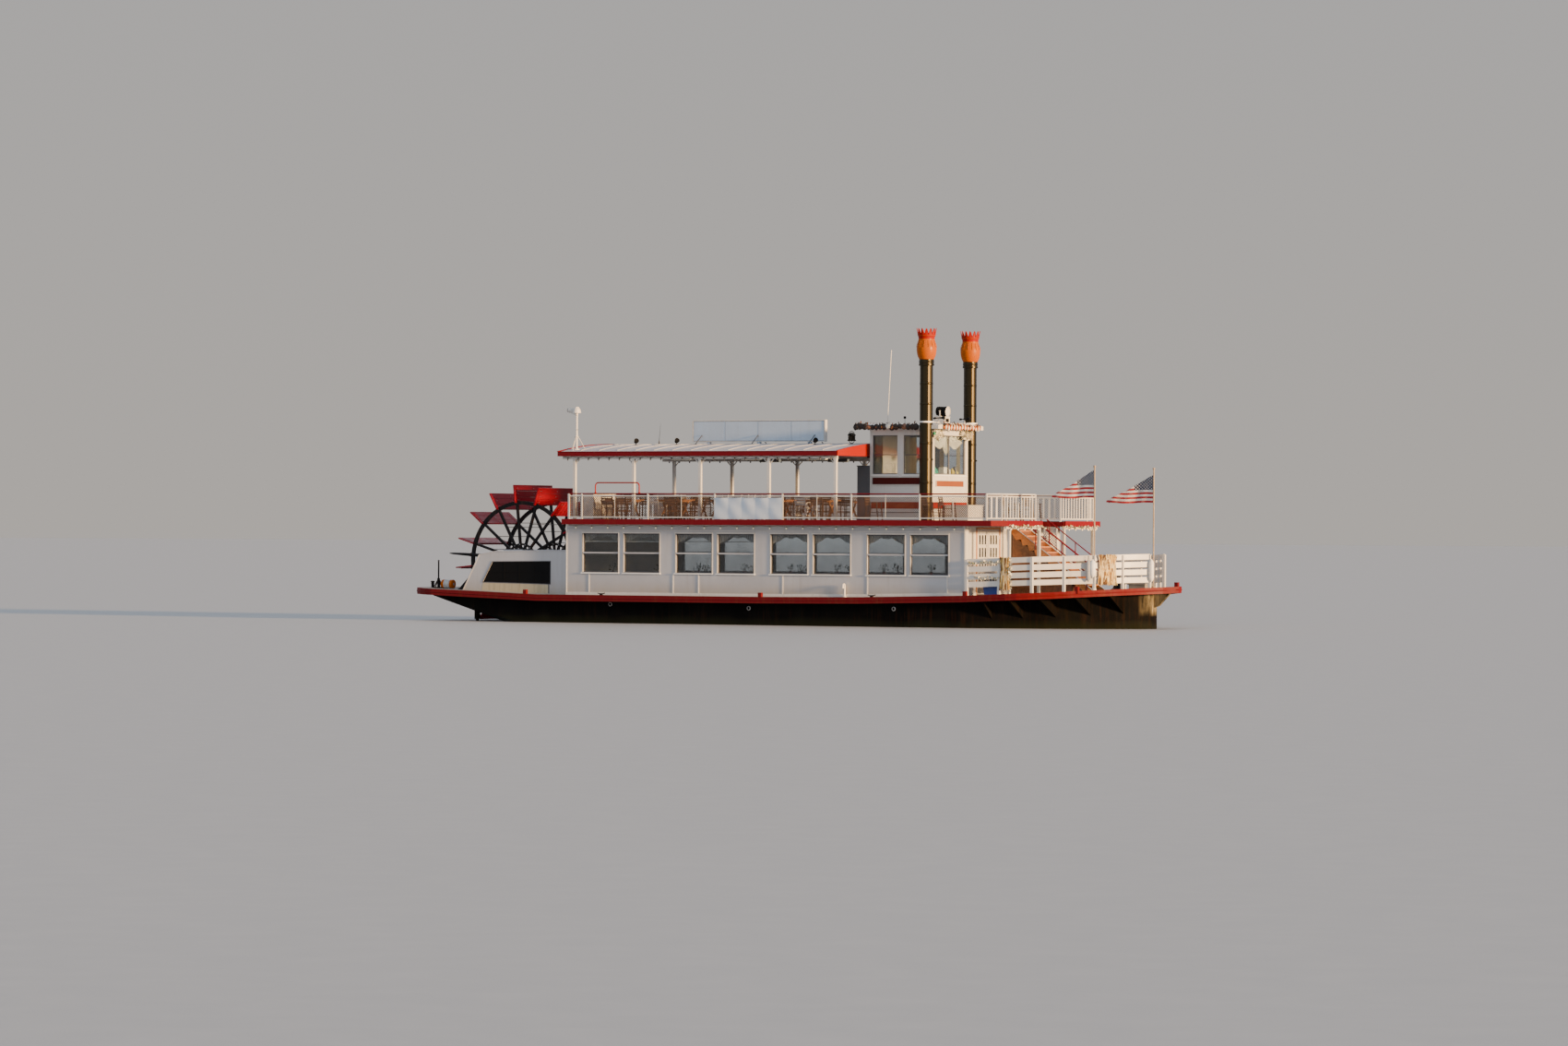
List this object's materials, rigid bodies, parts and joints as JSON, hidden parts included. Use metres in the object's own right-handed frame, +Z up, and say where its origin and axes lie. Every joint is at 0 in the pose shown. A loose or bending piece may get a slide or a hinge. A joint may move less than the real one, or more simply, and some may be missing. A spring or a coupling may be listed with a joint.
{
  "type": "sternwheel paddle boat",
  "caption": "Two-deck passenger sternwheel paddle boat with saloon, awning deck, pilothouse, crowned stacks and a turning red paddle wheel at the stern.",
  "frame": {"origin": "on the centreline amidships, at the waterline", "axes": "+X towards the bow, +Y to port, +Z up"},
  "size_m": [28.73, 7.8, 11.33],
  "materials": {
    "hull_black": "weathered semi-gloss black",
    "deck": "non-slip grey deck paint",
    "dark_red": "dark red gloss paint",
    "red": "bright red paint",
    "white": "white gloss paint",
    "wall": "pale grey-white paint over plate",
    "black": "semi-gloss black",
    "wood": "varnished orange-brown wood",
    "glass": "clear window glass",
    "brass": "polished bell brass",
    "steel": "grey steel",
    "awning": "pale coated awning top",
    "flag": "striped flag cloth",
    "banner": "pale blank banner cloth",
    "vinyl": "black seat vinyl",
    "straw": "dry straw stalks"
  },
  "bodies": {
    "boat": {"hull": "hull_black", "engine_block": "steel", "main_deck": "deck", "guard_strake": "dark_red", "saloon_side_starboard": "wall", "saloon_side_port": "wall", "saloon_panes_starboard": "glass", "saloon_panes_port": "glass", "saloon_aft_wall": "wall", "saloon_front_wall": "white", "saloon_tables_starboard": "wood", "saloon_tables_port": "wood", "upper_deck": "deck", "upper_fascia": "dark_red", "upper_rail_starboard": "white", "upper_rail_port": "white", "aft_rail": "white", "gate_hoop": "red", "rail_banner": "banner", "awning_frame_starboard": "white", "awning_frame_port": "white", "awning_roof": "awning", "awning_fascia": "dark_red", "pilothouse_walls": "white", "pilothouse_panes": "glass", "pilothouse_roof": "white", "helm_console": "wood", "pilot_seat": "vinyl", "stack_starboard": "black", "stack_port": "black", "stack_crown_starboard": "red", "stack_crown_port": "red", "sign_board": "white", "stern_mast": "white", "bell_stand": "steel", "side_box_starboard": "wall", "side_box_port": "wall", "wheel_bearing_starboard": "steel", "wheel_bearing_port": "steel", "bow_stair": "wood", "stair_locker": "wood", "front_posts_starboard": "white", "front_posts_port": "white", "bow_fence_starboard": "white", "bow_fence_port": "white", "jackstaff": "white", "jack_flag": "flag", "side_flag": "flag", "stern_pole": "black", "stern_drum": "red", "straw_bundle": "straw"},
    "wheel": {"paddle_wheel": "red"},
    "rudder_starboard": {"rudder_starboard": "hull_black"},
    "rudder_port": {"rudder_port": "hull_black"},
    "door_outer_starboard": {"door_outer_starboard": "white"},
    "door_outer_port": {"door_outer_port": "white"},
    "door_inner_starboard": {"door_inner_starboard": "white"},
    "door_inner_port": {"door_inner_port": "white"},
    "pilothouse_door": {"pilothouse_door": "white"},
    "bell": {"bell": "brass"}
  },
  "joints": [
    {"name": "wheel_spin", "type": "hinge", "parent": "boat", "child": "wheel", "pos_m": [-11.35, 0, 2.15], "axis": [0, 1, 0], "continuous": true},
    {"name": "rudder_turn", "type": "hinge", "parent": "boat", "child": "rudder_starboard", "pos_m": [-12.4, -2.4, -0.4], "axis": [0, 0, 1], "range_deg": [-35, 35]},
    {"name": "rudder_port_turn", "type": "hinge", "parent": "boat", "child": "rudder_port", "pos_m": [-12.4, 2.4, -0.4], "axis": [0, 0, 1], "range_deg": [-35, 35]},
    {"name": "door_outer_starboard_swing", "type": "hinge", "parent": "boat", "child": "door_outer_starboard", "pos_m": [7.8825, -2.65, 2.2], "axis": [0, 0, 1], "range_deg": [-100, 0]},
    {"name": "door_inner_starboard_swing", "type": "hinge", "parent": "boat", "child": "door_inner_starboard", "pos_m": [7.8825, -1.05, 2.2], "axis": [0, 0, 1], "range_deg": [0, 100]},
    {"name": "door_outer_port_swing", "type": "hinge", "parent": "boat", "child": "door_outer_port", "pos_m": [7.8825, 2.65, 2.2], "axis": [0, 0, 1], "range_deg": [0, 100]},
    {"name": "door_inner_port_swing", "type": "hinge", "parent": "boat", "child": "door_inner_port", "pos_m": [7.8825, 1.05, 2.2], "axis": [0, 0, 1], "range_deg": [-100, 0]},
    {"name": "pilothouse_door_swing", "type": "hinge", "parent": "boat", "child": "pilothouse_door", "pos_m": [2.9675, 0.36, 4.6], "axis": [0, 0, 1], "range_deg": [-100, 0]},
    {"name": "bell_swing", "type": "hinge", "parent": "boat", "child": "bell", "pos_m": [1.51, 0, 6.61], "axis": [0, 1, 0], "range_deg": [-40, 40]}
  ],
  "couplings": [
    {"joint": "rudder_port_turn", "follows": "rudder_turn", "ratio": 1}
  ]
}
